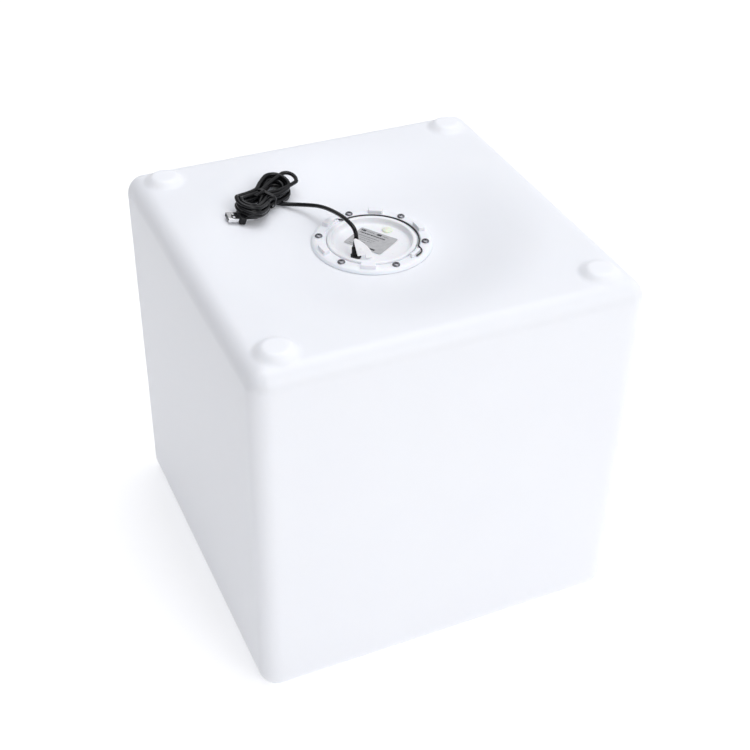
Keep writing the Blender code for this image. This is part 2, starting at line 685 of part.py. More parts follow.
def make_charge_plug(rubber, metal):
    """The plug in the jack: hollow barrel, round grip, tapered strain relief."""
    barrel_profile = [
        (1.3 * MM, -7.4 * MM),
        (BARREL_RADIUS, -7.4 * MM),
        (BARREL_RADIUS, NUT_HEIGHT),
        (1.3 * MM, NUT_HEIGHT),
    ]
    barrel = turned("charge_barrel", barrel_profile, metal, 20, JACK)
    bottom = NUT_HEIGHT + GAP
    grip_profile = [
        (0, bottom),
        (PLUG_RADIUS - 0.5 * MM, bottom),
        (PLUG_RADIUS, bottom + 0.5 * MM),
        (PLUG_RADIUS, bottom + PLUG_LENGTH - 2.5 * MM),
        (PLUG_RADIUS - 0.5 * MM, bottom + PLUG_LENGTH - 0.9 * MM),
        (PLUG_RADIUS - 1.5 * MM, bottom + PLUG_LENGTH),
        (0, bottom + PLUG_LENGTH),
    ]
    grip = turned("charge_plug", grip_profile, rubber, 20, JACK)
    base = bottom + PLUG_LENGTH + GAP
    relief_profile = [
        (0, base),
        (3.1 * MM, base),
        (3.0 * MM, base + 2 * MM),
        (2.3 * MM, base + RELIEF_LENGTH - 0.6 * MM),
        (2.0 * MM, base + RELIEF_LENGTH),
        (0, base + RELIEF_LENGTH),
    ]
    relief = turned("strain_relief", relief_profile, rubber, 16, JACK)
    return [barrel, grip, relief]


def hank_outline(margin=0.0):
    """A long loop's outline, wide at both ends and drawn in at the tie."""
    reach = HANK_LENGTH / 2 - HANK_LOBE_RADIUS
    wide = HANK_LOBE_RADIUS + margin
    waist = HANK_WAIST + margin
    side = [(reach, -wide), (reach * 0.45, -0.5 * (wide + waist)), (0.0, -waist)]
    outline = [(-x, y) for x, y in side[:2]] + [side[2]] + [side[1]]
    arc = [math.radians(-90 + 180 * k / 8) for k in range(9)]
    outline += [(reach + wide * math.cos(a), wide * math.sin(a)) for a in arc]
    outline += [(side[1][0], -side[1][1]), (0.0, waist), (-side[1][0], -side[1][1])]
    outline += [(-reach - wide * math.cos(a), -wide * math.sin(a)) for a in arc[:-1]]
    return outline


def usb_point(distance):
    """A point on the far plug's axis, this far out from where the lead enters it."""
    return USB_TIP + USB_LIE.to_matrix() @ Vector((-distance, 0, 0))


def make_hank(rubber, tie_material):
    """The folded spare length, leaning with the dish, and the tie round its waist."""
    lie = Euler((HANK_TILT, 0, HANK_TURN), "XYZ")
    hank = prism("lead_hank", hank_outline(), HANK_THICKNESS, rubber, 3 * MM)
    hank.location = HANK_CENTRE
    hank.rotation_euler = lie
    pocket_size = [side + 1.4 * MM for side in USB_GRIP_SIZE]
    pocket = block("plug_pocket_form", pocket_size, usb_point(USB_GRIP_SIZE[0] / 2), rubber)
    pocket.rotation_euler = USB_LIE
    cut(hank, pocket)
    way_size = (USB_SHELL_SIZE[0], USB_SHELL_SIZE[1] + 2 * MM, USB_GRIP_SIZE[2] + 1.4 * MM)
    way_out = block("plug_way_form", way_size, usb_point(USB_GRIP_SIZE[0] + USB_SHELL_SIZE[0] / 2), rubber)
    way_out.rotation_euler = USB_LIE
    cut(hank, way_out)
    half_width, half_height = HANK_WAIST + 0.6 * MM, HANK_THICKNESS / 2 + 0.5 * MM
    bm = bmesh.new()
    loops = []
    for x in (-2 * MM, 2 * MM):
        for grow in (1.0 * MM, 0.0) if x < 0 else (0.0, 1.0 * MM):
            w, h = half_width + grow, half_height + grow
            corners = [(-w, -h), (w, -h), (w, h), (-w, h)]
            loops.append([Vector((x, y, z + HANK_THICKNESS / 2)) for y, z in corners])
    loft(bm, loops, closed=True)
    tie = add_bmesh("hank_tie", bm, tie_material, smooth=False)
    tie.location = HANK_CENTRE
    tie.rotation_euler = lie
    return [hank, tie]


def make_usb_plug(rubber, metal):
    """The lead's far end, half under the end of the hank: moulded grip and open metal shell."""
    length, width, thickness = USB_SHELL_SIZE
    start = USB_GRIP_SIZE[0] + GAP
    grip = block("usb_plug", USB_GRIP_SIZE, usb_point(USB_GRIP_SIZE[0] / 2), rubber, bevel=0.8 * MM)
    shell = block("usb_shell", USB_SHELL_SIZE, usb_point(start + length / 2), metal)
    mouth_size = (length, width - 0.8 * MM, thickness - 0.8 * MM)
    mouth = block("usb_mouth_form", mouth_size, usb_point(start + length / 2 + 1.5 * MM), metal)
    for piece in (grip, shell, mouth):
        piece.rotation_euler = USB_LIE
    cut(shell, mouth)
    return [grip, shell]


def build():
    for obj in list(bpy.data.objects):
        bpy.data.objects.remove(obj, do_unlink=True)
    white_pe = make_material("translucent_white", (0.86, 0.87, 0.9), 0.45)
    white_abs = make_material("white_plastic", (0.88, 0.89, 0.9), 0.4)
    silicone = make_material("white_silicone", (0.93, 0.93, 0.93), 0.5)
    pale_green = make_material("pale_button", (0.74, 0.82, 0.66), 0.5)
    black_rubber = make_material("black_rubber", (0.02, 0.02, 0.022), 0.35)
    black_wire = make_material("black_wire", (0.03, 0.03, 0.03), 0.4)
    dark_steel = make_material("dark_steel", (0.25, 0.25, 0.27), 0.35, 1.0)
    nickel = make_material("nickel", (0.78, 0.78, 0.8), 0.2, 1.0)
    silver_label = make_material("silver_label", (0.55, 0.55, 0.56), 0.35, 0.6)
    board_green = make_material("board_green", (0.05, 0.3, 0.12), 0.5)
    cell_blue = make_material("cell_wrap", (0.1, 0.25, 0.6), 0.4)
    wire_red = make_material("wire_red", (0.6, 0.05, 0.04), 0.5)
    lens = make_material("diffuser", (0.95, 0.95, 0.93), 0.5)

    make_shell(white_pe)
    make_ring(white_abs)
    make_gasket(silicone)
    make_screws(dark_steel)
    make_retaining_wire(black_wire)

    cap_axis = joint_axis("cap_axis", (0, 0, CAP_RIM_Z))
    attach(cap_axis, make_cap(white_abs), make_seal(silicone), make_label(silver_label))
    attach(cap_axis, *make_jack(black_rubber, black_rubber))
    attach(cap_axis, *make_lamp_insides(white_abs, board_green, nickel, cell_blue, lens))
    attach(cap_axis, *make_inner_wires(wire_red, black_wire))
    attach(joint_axis("button_axis", BUTTON, cap_axis), make_button(pale_green))
    flap_hinge = (-14 * MM, -23.2 * MM, BOWL_FLOOR_Z)
    attach(joint_axis("flap_axis", flap_hinge, cap_axis), make_flap(silicone))
    plug_axis = joint_axis("plug_axis", JACK, cap_axis)
    attach(plug_axis, *make_charge_plug(black_rubber, nickel))
    route = smooth_route([[value * MM for value in point] for point in LEAD_ROUTE], 2)
    attach(plug_axis, round_wire("charge_lead", route, CORD_RADIUS, black_rubber))
    attach(plug_axis, *make_hank(black_rubber, black_wire))
    attach(plug_axis, *make_usb_plug(black_rubber, nickel))


build()
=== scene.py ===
"""Looks for the floating pool light: a hollow white cube, upside down, with its lamp unit facing up.

Lengths are in millimetres, and MM turns them into metres. The stage, lights and camera are in metres."""
import json
import math
import random
from collections import namedtuple

import bmesh
import bpy
from mathutils import Euler, Matrix, Vector


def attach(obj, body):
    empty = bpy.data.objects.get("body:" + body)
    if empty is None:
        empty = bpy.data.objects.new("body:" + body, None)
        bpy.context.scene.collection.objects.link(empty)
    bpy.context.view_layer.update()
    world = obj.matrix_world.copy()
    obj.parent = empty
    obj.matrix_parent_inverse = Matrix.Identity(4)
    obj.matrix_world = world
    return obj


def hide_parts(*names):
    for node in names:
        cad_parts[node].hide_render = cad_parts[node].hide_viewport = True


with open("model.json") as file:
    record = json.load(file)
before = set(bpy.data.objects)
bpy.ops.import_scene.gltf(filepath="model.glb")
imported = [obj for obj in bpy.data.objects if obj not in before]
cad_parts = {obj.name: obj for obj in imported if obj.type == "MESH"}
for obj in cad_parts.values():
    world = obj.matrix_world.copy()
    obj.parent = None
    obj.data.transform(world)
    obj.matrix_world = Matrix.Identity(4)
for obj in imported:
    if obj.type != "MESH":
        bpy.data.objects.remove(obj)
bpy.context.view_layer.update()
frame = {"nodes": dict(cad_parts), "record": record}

MM = 0.001
TINY = 1e-6
SOFT_ANGLE = 35

# The cube
SIDE = 400.0
EDGE_RADIUS = 20.0
FLAT_HALF = SIDE / 2 - EDGE_RADIUS
WALL = 4.0
DISH_DEPTH = 20.5
DISH_FLAT_RADIUS = 66.0
DISH_OUTER_RADIUS = 182.0
PAD_Z = SIDE - DISH_DEPTH
NECK_RADIUS = 47.0
NECK_OUTER_RADIUS = 62.0
NECK_BOTTOM_Z = PAD_Z - 12.5
FOOT_OFFSET = 164.0
FOOT_HEIGHT = 6.5
FOOT_FLAT_RADIUS = 11.0
FOOT_SKIRT_RADIUS = 22.5

# The grid of the cube's walls runs in circles round the mouth and turns into squares between two reaches.
# GRID_STOP is where the spacing of its lines changes
CIRCLES_TO = 68.0
SQUARES_FROM = 136.0
GRID_STOP = 134.0

# The ring and what is on it
RING_BOTTOM_Z = 380.9
RING_TOP_Z = 383.4
RING_INNER_RADIUS = 45.85
RING_LEDGE_RADIUS = 49.0
RING_FLAT_RADIUS = 56.5
RING_SKIRT_RADIUS = 60.7
LUG_TOP_Z = 387.4
SCREW_CIRCLE = 53.6
SCREW_ANGLES = [math.radians(32.3 + 60 * k) for k in range(6)]
LUG_ANGLES = [math.radians(2.3 + 60 * k) for k in range(6)]
HOOK_LUG = 5
WIRE_RADIUS = 0.75

# The lamp unit
FLOOR_Z = 377.5
CAP_RIM_Z = 384.0
JACK = Vector((-24.6, -16.8, FLOOR_Z))
BUTTON = Vector((25.5, 18.5, FLOOR_Z))
LABEL_CENTRE = Vector((1.4, 5.4, FLOOR_Z + 0.4))
LABEL_SIZE = (43.5, 34.5)
LABEL_TURN = math.radians(-56.3)

# The charging lead. PLUG_LIFT is how far the hank's left lobe is raised where it rests on the far plug
CORD_RADIUS = 2.1
LEAD_ROUTE = [
    (-24.6, -16.8, 401.6),
    (-24.7, -15.9, 404.6),
    (-24.9, -13.2, 407.4),
    (-25.4, -8.4, 409.2),
    (-26.2, -1.0, 409.8),
    (-27.0, 10.0, 409.0),
    (-27.8, 26.5, 405.4),
    (-29.5, 45.9, 400.2),
    (-33.0, 60.5, 396.0),
    (-38.5, 72.5, 392.0),
    (-45.8, 80.8, 389.8),
    (-54.5, 86.6, 389.0),
    (-60.9, 90.2, 388.9),
]
HANK_CENTRE = Vector((-81.4, 91.7))
HANK_TURN = math.radians(40.3)
HANK_TILT = math.radians(15.0)
PLUG_LIFT = 3.9
USB_TIP = Vector((-110.5, 68.0, 396.2))
USB_LIE = Euler((math.radians(8), math.radians(12.5), 0.0)).to_matrix()


# ---------------------------------------------------------------- shapes

def polar(radius, angle, z=0.0):
    return Vector((radius * math.cos(angle), radius * math.sin(angle), z))


def smoothstep(value):
    value = min(max(value, 0.0), 1.0)
    return value * value * (3 - 2 * value)


def dish_z(radius):
    span = (radius - DISH_FLAT_RADIUS) / (DISH_OUTER_RADIUS - DISH_FLAT_RADIUS)
    span = min(max(span, 0.0), 1.0)
    return SIDE - DISH_DEPTH * 0.5 * (1 + math.cos(math.pi * span))


def foot_rise(x, y):
    distance = math.hypot(abs(x) - FOOT_OFFSET, abs(y) - FOOT_OFFSET)
    share = (distance - FOOT_FLAT_RADIUS) / (FOOT_SKIRT_RADIUS - FOOT_FLAT_RADIUS)
    return FOOT_HEIGHT * (1 - smoothstep(share))


def rounded(points, radius, steps=3):
    """The closed outline with its corners rounded, except those on the axis."""
    points = [Vector(p) for p in points]
    out = []
    for i, corner in enumerate(points):
        if corner.x == 0:
            out.append(corner)
            continue
        before = points[i - 1] - corner
        after = points[(i + 1) % len(points)] - corner
        reach = min(radius, 0.45 * before.length, 0.45 * after.length)
        start = corner + before.normalized() * reach
        end = corner + after.normalized() * reach
        for k in range(steps + 1):
            t = k / steps
            out.append(start * (1 - t) ** 2 + corner * 2 * t * (1 - t) + end * t ** 2)
    return out


def soft_rim(edge):
    """Four (inset, height) steps of a rounded rim, from its flat face to its side."""
    bends = [math.radians(30 * k) for k in range(4)]
    return [(edge * (1 - math.sin(bend)), edge * (1 - math.cos(bend))) for bend in bends]


def skin_rows(bm, rows, closed=False):
    """Faces between neighbouring rings of vertices, and from the last ring to the first if closed."""
    pairs = list(zip(rows, rows[1:]))
    if closed:
        pairs.append((rows[-1], rows[0]))
    for row, above in pairs:
        for i in range(len(row)):
            j = (i + 1) % len(row)
            bm.faces.new((row[i], row[j], above[j], above[i]))


def finish_bmesh(bm):
    """Merges vertices that coincide and turns every face outwards."""
    bmesh.ops.remove_doubles(bm, verts=bm.verts, dist=1e-5)
    bmesh.ops.recalc_face_normals(bm, faces=bm.faces)
    return bm


def lathe(profile, segments=96, place=(0, 0, 0), rounding=0.0):
    """A turned solid. Its (radius, z) section runs from axis to axis, or else is a closed loop."""
    points = [Vector(p) for p in profile]
    if rounding:
        points = rounded(points, rounding)
    bm = bmesh.new()
    turns = [2 * math.pi * k / segments for k in range(segments)]
    rows = []
    for p in points:
        rows.append([bm.verts.new(Vector(place) + polar(p.x, turn, p.y)) for turn in turns])
    on_axis = points[0].x == 0 and points[-1].x == 0
    skin_rows(bm, rows, closed=not on_axis)
    return finish_bmesh(bm)


def drum(radius, bottom, top, segments, place):
    """A plain cylinder along Z."""
    return lathe([(0, bottom), (radius, bottom), (radius, top), (0, top)], segments, place)


def arc_block(inner, outer, bottom, top, middle, half_angle, edge, steps=10):
    """An arc-shaped block round the Z axis with soft edges and ends."""
    outline = rounded([(inner, bottom), (outer, bottom), (outer, top), (inner, top)], edge)
    centre = Vector(((inner + outer) / 2, (bottom + top) / 2))
    half = Vector(((outer - inner) / 2, (top - bottom) / 2))
    ends = [(inset, height / centre.x) for inset, height in soft_rim(edge)]
    stations = [(inset, -half_angle + gap) for inset, gap in ends]
    stations += [(0.0, half_angle * (2 * k / steps - 1)) for k in range(1, steps)]
    stations += [(inset, half_angle - gap) for inset, gap in reversed(ends)]
    bm = bmesh.new()
    rows = []
    for inset, turn in stations:
        row = []
        for p in outline:
            r = p.x + (centre.x - p.x) * inset / half.x
            z = p.y + (centre.y - p.y) * inset / half.y
            row.append(bm.verts.new(polar(r, middle + turn, z)))
        rows.append(row)
    skin_rows(bm, rows)
    bm.faces.new(rows[0])
    bm.faces.new(rows[-1])
    return finish_bmesh(bm)


def soft_block(size, edge, place, lie, segments=3):
    """A box with rounded edges, turned by the 3x3 matrix lie and then moved to its place."""
    bm = bmesh.new()
    bmesh.ops.create_cube(bm, size=1.0, matrix=Matrix.Diagonal((*size, 1.0)))
    bmesh.ops.bevel(bm, geom=bm.edges, offset=edge, segments=segments, affect="EDGES", profile=0.5)
    matrix = lie.to_4x4()
    matrix.translation = Vector(place)
    bmesh.ops.transform(bm, matrix=matrix, verts=bm.verts)
    return finish_bmesh(bm)


def plate(outline, thickness, edge, matrix):
    """A flat piece from an anticlockwise outline in its XY plane, its rims rounded."""
    bm = bmesh.new()
    layers = soft_rim(edge)
    layers += [(inset, thickness - height) for inset, height in reversed(layers)]
    rows = []
    for inset, height in layers:
        row = []
        for i, p in enumerate(outline):
            along = (outline[(i + 1) % len(outline)] - outline[i - 1]).normalized()
            q = p + Vector((-along.y, along.x)) * inset
            row.append(bm.verts.new(matrix @ Vector((q.x, q.y, height))))
        rows.append(row)
    skin_rows(bm, rows)
    bm.faces.new(rows[0])
    bm.faces.new(rows[-1])
    return finish_bmesh(bm)


def add_object(name, data):
    obj = bpy.data.objects.new(name, data)
    bpy.context.scene.collection.objects.link(obj)
    return obj


def soften(mesh, smooth_angle=SOFT_ANGLE):
    """Shades the mesh smooth and keeps the edges that bend by more than the angle, in degrees."""
    mesh.shade_smooth()
    mesh.set_sharp_from_angle(angle=math.radians(smooth_angle))


def to_object(name, bm, smooth_angle=SOFT_ANGLE):
    """A scene object from a bmesh in millimetres."""
    bmesh.ops.scale(bm, vec=(MM, MM, MM), verts=bm.verts)
    mesh = bpy.data.meshes.new(name)
    bm.to_mesh(mesh)
    bm.free()
    obj = add_object(name, mesh)
    soften(mesh, smooth_angle)
    return obj


def carved(name, base, joins=(), cuts=(), smooth_angle=SOFT_ANGLE):
    """The base with some forms joined on and others cut away, as one mesh."""
    obj = to_object(name, base)
    helpers = []
    for forms, operation in ((joins, "UNION"), (cuts, "DIFFERENCE")):
        for form in forms:
            helper = to_object(f"{name}_form", form)
            modifier = obj.modifiers.new("form", "BOOLEAN")
            modifier.operation = operation
            modifier.object = helper
            helpers.append(helper)
    graph = bpy.context.evaluated_depsgraph_get()
    mesh = bpy.data.meshes.new_from_object(obj.evaluated_get(graph))
    obj.modifiers.clear()
    obj.data = mesh
    for helper in helpers:
        bpy.data.objects.remove(helper, do_unlink=True)
    soften(mesh, smooth_angle)
    return obj


def smooth_route(points, steps=6, closed=False):
    """Points along a Catmull-Rom curve through the given ones."""
    points = [Vector(p) for p in points]
    if closed:
        ends = [points[-1]] + points + points[:2]
    else:
        ends = [2 * points[0] - points[1]] + points + [2 * points[-1] - points[-2]]
    route = []
    for a, b, c, d in zip(ends, ends[1:], ends[2:], ends[3:]):
        for k in range(steps):
            t = k / steps
            even = 2 * b + (2 * a - 5 * b + 4 * c - d) * t * t
            odd = (c - a) * t + (3 * b - a - 3 * c + d) * t ** 3
            route.append((even + odd) / 2)
    if not closed:
        route.append(points[-1])
    return route


def round_wire(name, points, radius):
    """A round wire through points in millimetres, as a curve with a bevel."""
    curve = bpy.data.curves.new(name, "CURVE")
    curve.dimensions = "3D"
    curve.bevel_depth = radius * MM
    curve.bevel_resolution = 5
    curve.use_fill_caps = True
    spline = curve.splines.new("POLY")
    spline.points.add(len(points) - 1)
    for target, point in zip(spline.points, points):
        target.co = (*(Vector(point) * MM), 1.0)
    spline.use_smooth = True
    return add_object(name, curve)


def dress(obj, material, body, slot, *nodes):
    """Gives a piece its material and body, and hides the CAD nodes that it stands for. The slot is not used.
    """
    obj.data.materials.clear()
    obj.data.materials.append(material)
    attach(obj, body)
    if nodes:
        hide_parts(*nodes)
    return obj


# ---------------------------------------------------------------- materials

class Recipe:
    """A material under construction: a Principled shader and what feeds its colour, gloss and bump."""

    def __init__(self, name, colour, roughness, **settings):
        self.material = bpy.data.materials.new(name)
        self.material.use_nodes = True
        self.tree = self.material.node_tree
        self.shader = self.tree.nodes["Principled BSDF"]
        self.base = colour
        self.roughness = roughness
        self.shader.inputs["Base Color"].default_value = (*colour, 1.0)
        self.shader.inputs["Roughness"].default_value = roughness
        for key, value in settings.items():
            self.shader.inputs[key.replace("_", " ")].default_value = value
        self.place = self.tree.nodes.new("ShaderNodeTexCoord").outputs["Object"]
        self.bump_end = None

    def feed(self, socket, value):
        """Links another node's output to the socket, or sets a constant on it."""
        if hasattr(value, "is_output"):
            self.tree.links.new(value, socket)
        else:
            socket.default_value = value

    def node(self, kind, **inputs):
        node = self.tree.nodes.new(kind)
        for key, value in inputs.items():
            self.feed(node.inputs[key.replace("_", " ")], value)
        return node

    def noise(self, scale, detail=3.0, stretch=None):
        place = self.place
        if stretch:
            place = self.node("ShaderNodeMapping", Vector=self.place, Scale=stretch).outputs[0]
        return self.node("ShaderNodeTexNoise", Vector=place, Scale=scale, Detail=detail).outputs["Fac"]

    def mapped(self, value, low, high):
        """Spreads the middle of a noise's values over low to high."""
        ends = {"From_Min": 0.3, "From_Max": 0.7, "To_Min": low, "To_Max": high}
        return self.node("ShaderNodeMapRange", Value=value, **ends).outputs["Result"]

    def math(self, operation, a, b):
        node = self.tree.nodes.new("ShaderNodeMath")
        node.operation = operation
        for socket, value in zip(node.inputs, (a, b)):
            self.feed(socket, value)
        return node.outputs[0]

    def mix(self, factor, first, second):
        """Mixes two colours, each a node's output or three numbers."""
        node = self.tree.nodes.new("ShaderNodeMix")
        node.data_type = "RGBA"
        factor_in, first_in, second_in = node.inputs[0], node.inputs[6], node.inputs[7]
        self.feed(factor_in, factor)
        for socket, value in ((first_in, first), (second_in, second)):
            self.feed(socket, (*value, 1.0) if isinstance(value, tuple) else value)
        return node.outputs[2]

    def set_colour(self, value):
        self.tree.links.new(value, self.shader.inputs["Base Color"])
        self.base = value

    def mottle(self, scale, second, amount=1.0):
        """Drifts the colour towards a second one in soft patches."""
        factor = self.mapped(self.noise(scale, 4.0), 0.0, amount)
        self.set_colour(self.mix(factor, self.base, second))

    def uneven_gloss(self, scale, spread, stretch=None):
        low, high = self.roughness - spread, self.roughness + spread
        value = self.mapped(self.noise(scale, stretch=stretch), low, high)
        self.tree.links.new(value, self.shader.inputs["Roughness"])

    def bump(self, height, depth_mm):
        """Adds relief on top of any that is already there."""
        node = self.node("ShaderNodeBump", Height=height, Strength=1.0, Distance=depth_mm * MM)
        if self.bump_end:
            self.tree.links.new(self.bump_end, node.inputs["Normal"])
        self.bump_end = node.outputs["Normal"]
        self.tree.links.new(self.bump_end, self.shader.inputs["Normal"])

    def grain(self, scale, depth_mm, detail=3.0, stretch=None):
        self.bump(self.noise(scale, detail, stretch), depth_mm)


def make_materials():
    made = {}

    pe = Recipe("translucent_pe", (0.905, 0.917, 0.965), 0.42, IOR=1.5, Subsurface_Weight=0.35,
                Subsurface_Scale=0.008, Subsurface_Radius=(1.0, 0.95, 0.9))
    pe.mottle(9.0, (0.89, 0.902, 0.955), 0.7)
    pe.uneven_gloss(140.0, 0.05)
    pe.grain(420.0, 0.06)
    pe.grain(26.0, 0.2, detail=1.0)
    made["shell"] = pe.material

    for slot, colour, rough in (
        ("ring_plastic", (0.875, 0.885, 0.925), 0.45),
        ("cap_plastic", (0.88, 0.886, 0.912), 0.32),
        ("housing_plastic", (0.85, 0.86, 0.88), 0.38),
    ):
        abs_white = Recipe(slot, colour, rough, Subsurface_Weight=0.12, Subsurface_Scale=0.002)
        abs_white.mottle(60.0, tuple(0.975 * c for c in colour), 0.8)
        abs_white.uneven_gloss(300.0, 0.05)
        abs_white.grain(1500.0, 0.015)
        made[slot] = abs_white.material

    lens = Recipe("diffuser", (0.93, 0.93, 0.91), 0.5, Subsurface_Weight=0.6, Subsurface_Scale=0.004)
    lens.mottle(80.0, (0.9, 0.9, 0.87))
    lens.grain(2200.0, 0.02)
    made["diffuser"] = lens.material

    for slot, colour, second, rough, scatter in (
        ("seal_rubber", (0.84, 0.85, 0.87), (0.80, 0.81, 0.83), 0.55, 0.2),
        ("button_silicone", (0.78, 0.84, 0.68), (0.80, 0.86, 0.74), 0.42, 0.5),
        ("flap_silicone", (0.98, 0.98, 0.985), (0.965, 0.965, 0.975), 0.38, 0.05),
    ):
        silicone = Recipe(slot, colour, rough, Subsurface_Weight=scatter, Subsurface_Scale=0.002,
                          Sheen_Weight=0.1)
        silicone.mottle(350.0, second)
        silicone.uneven_gloss(700.0, 0.07)
        silicone.grain(3200.0, 0.02)
        made[slot] = silicone.material

    for slot, colour, rough, scale, depth in (
        # black_wire: the wire's own black, which also serves as painted shade for the dark groove line
        # between cap and ring
        ("black_wire", (0.03, 0.03, 0.032), 0.36, 1800.0, 0.02),
        ("black_plastic", (0.022, 0.023, 0.026), 0.4, 2600.0, 0.02),
        ("cord_rubber", (0.004, 0.0042, 0.005), 0.22, 900.0, 0.004),
        ("plug_rubber", (0.006, 0.006, 0.007), 0.36, 3000.0, 0.02),
        ("tie_black", (0.006, 0.006, 0.007), 0.34, 2000.0, 0.02),
        ("wire_black", (0.03, 0.03, 0.032), 0.34, 1600.0, 0.02),
        ("wire_red", (0.55, 0.03, 0.025), 0.34, 1600.0, 0.02),
    ):
        vinyl = Recipe(slot, colour, rough, Specular_IOR_Level=0.3)
        vinyl.mottle(500.0, tuple(min(1.0, 1.5 * c + 0.001) for c in colour))
        vinyl.uneven_gloss(700.0, 0.04)
        vinyl.grain(scale, depth)
        made[slot] = vinyl.material

    for slot, colour, rough, spread in (
        ("screw_steel", (0.27, 0.27, 0.29), 0.34, 0.1),
        ("nickel", (0.86, 0.86, 0.87), 0.16, 0.06),
        ("switch_metal", (0.62, 0.62, 0.63), 0.3, 0.08),
    ):
        metal = Recipe(slot, colour, rough, Metallic=1.0)
        metal.mottle(900.0, tuple(0.8 * c for c in colour))
        metal.uneven_gloss(1400.0, spread, stretch=(1.0, 1.0, 0.15))
        metal.grain(2600.0, 0.01, stretch=(1.0, 0.2, 1.0))
        made[slot] = metal.material

    made["silver_label"] = label_material()
    made["driver_board"] = board_material("driver_board", (0.03, 0.22, 0.08), (0.05, 0.30, 0.12))
    made["lamp_board"] = board_material("lamp_board", (0.86, 0.86, 0.84), (0.80, 0.80, 0.78))

    cell = Recipe("cell_wrap", (0.07, 0.20, 0.52), 0.3, Coat_Weight=0.4, Coat_Roughness=0.1)
    cell.mottle(200.0, (0.05, 0.16, 0.46))
    cell.uneven_gloss(500.0, 0.05)
    cell.grain(300.0, 0.08, stretch=(0.3, 1.0, 1.0))
    made["cell_wrap"] = cell.material
    return made


def board_material(name, mask, trace):
    """Solder mask over a grid of raised tracks."""
    board = Recipe(name, mask, 0.35, Coat_Weight=0.3, Coat_Roughness=0.15)
    cells = board.node("ShaderNodeTexBrick", Vector=board.place, Scale=260.0, Mortar_Size=0.06)
    tracks = cells.outputs["Fac"]
    board.set_colour(board.mix(tracks, mask, trace))
    board.uneven_gloss(900.0, 0.05)
    board.bump(tracks, 0.03)
    return board.material


def label_material():
    """Brushed silver film with rows of short dark bars; it carries no words."""
    label = Recipe("silver_label", (0.50, 0.50, 0.515), 0.42, Metallic=0.45)
    uv = label.tree.nodes.new("ShaderNodeTexCoord").outputs["UV"]
    parts = label.node("ShaderNodeSeparateXYZ", Vector=uv)
    across, down = parts.outputs["X"], parts.outputs["Y"]

    def between(value, low, high):
        above, below = label.math("GREATER_THAN", value, low), label.math("LESS_THAN", value, high)
        return label.math("MULTIPLY", above, below)

    def broken(value, scale, share, seed):
        """Leaves gaps of uneven width along a bar."""
        place = label.node("ShaderNodeCombineXYZ", X=value, Y=seed).outputs[0]
        fine = label.node("ShaderNodeTexNoise", Vector=place, Scale=scale, Detail=1.0).outputs["Fac"]
        return label.math("GREATER_THAN", fine, share)

    ink = None
    rows = (
        # low and high edge of the row, its left and right ends, breaks per width, share left blank
        (0.845, 0.935, 0.05, 0.17, 26.0, 0.40),
        (0.845, 0.935, 0.46, 0.60, 26.0, 0.40),
        (0.870, 0.905, 0.20, 0.42, 60.0, 0.50),
        (0.870, 0.905, 0.63, 0.78, 60.0, 0.50),
        (0.735, 0.785, 0.07, 0.76, 48.0, 0.43),
        (0.600, 0.625, 0.10, 0.66, 70.0, 0.47),
        (0.500, 0.525, 0.10, 0.60, 70.0, 0.50),
        (0.400, 0.425, 0.10, 0.56, 70.0, 0.50),
        (0.290, 0.315, 0.10, 0.44, 70.0, 0.50),
        (0.060, 0.140, 0.50, 0.80, 30.0, 0.44),
        (0.080, 0.120, 0.10, 0.40, 60.0, 0.50),
    )
    for seed, (low, high, left, right, scale, share) in enumerate(rows):
        bar = label.math("MULTIPLY", between(down, low, high), between(across, left, right))
        bar = label.math("MULTIPLY", bar, broken(across, scale, share, float(seed)))
        ink = bar if ink is None else label.math("MAXIMUM", ink, bar)
    brushing = label.mapped(label.noise(240.0, 4.0), 0.0, 1.0)
    film = label.mix(brushing, (0.47, 0.47, 0.485), (0.55, 0.55, 0.56))
    label.set_colour(label.mix(ink, film, (0.045, 0.045, 0.05)))
    label.uneven_gloss(700.0, 0.06)
    label.grain(60.0, 0.12, detail=1.0)
    return label.material


# ---------------------------------------------------------------- the cube

def skin_lines(spans, bend_radius, bend_steps):
    """Grid lines across a face: spans are (end, count) of even steps, then equal angles round the bend."""
    lines = [0.0]
    for end, count in spans:
        start = lines[-1]
        lines += [start + (end - start) * (k + 1) / count for k in range(count)]
    for k in range(1, bend_steps + 1):
        lines.append(FLAT_HALF + bend_radius * math.tan(math.pi / 4 * k / bend_steps))
    return [-x for x in reversed(lines[1:])] + lines


def on_circles(x, y):
    """Where a point of the square grid goes, so that the grid runs in circles round its middle."""
    reach = max(abs(x), abs(y))
    if reach == 0 or reach >= FLAT_HALF:
        return x, y
    if abs(x) >= abs(y):
        angle = math.pi / 4 * y / x + (math.pi if x < 0 else 0.0)
    else:
        angle = math.pi / 2 - math.pi / 4 * x / y + (math.pi if y < 0 else 0.0)
    circle = polar(reach, angle)
    share = 1 - smoothstep((reach - CIRCLES_TO) / (SQUARES_FROM - CIRCLES_TO))
    return x + (circle.x - x) * share, y + (circle.y - y) * share


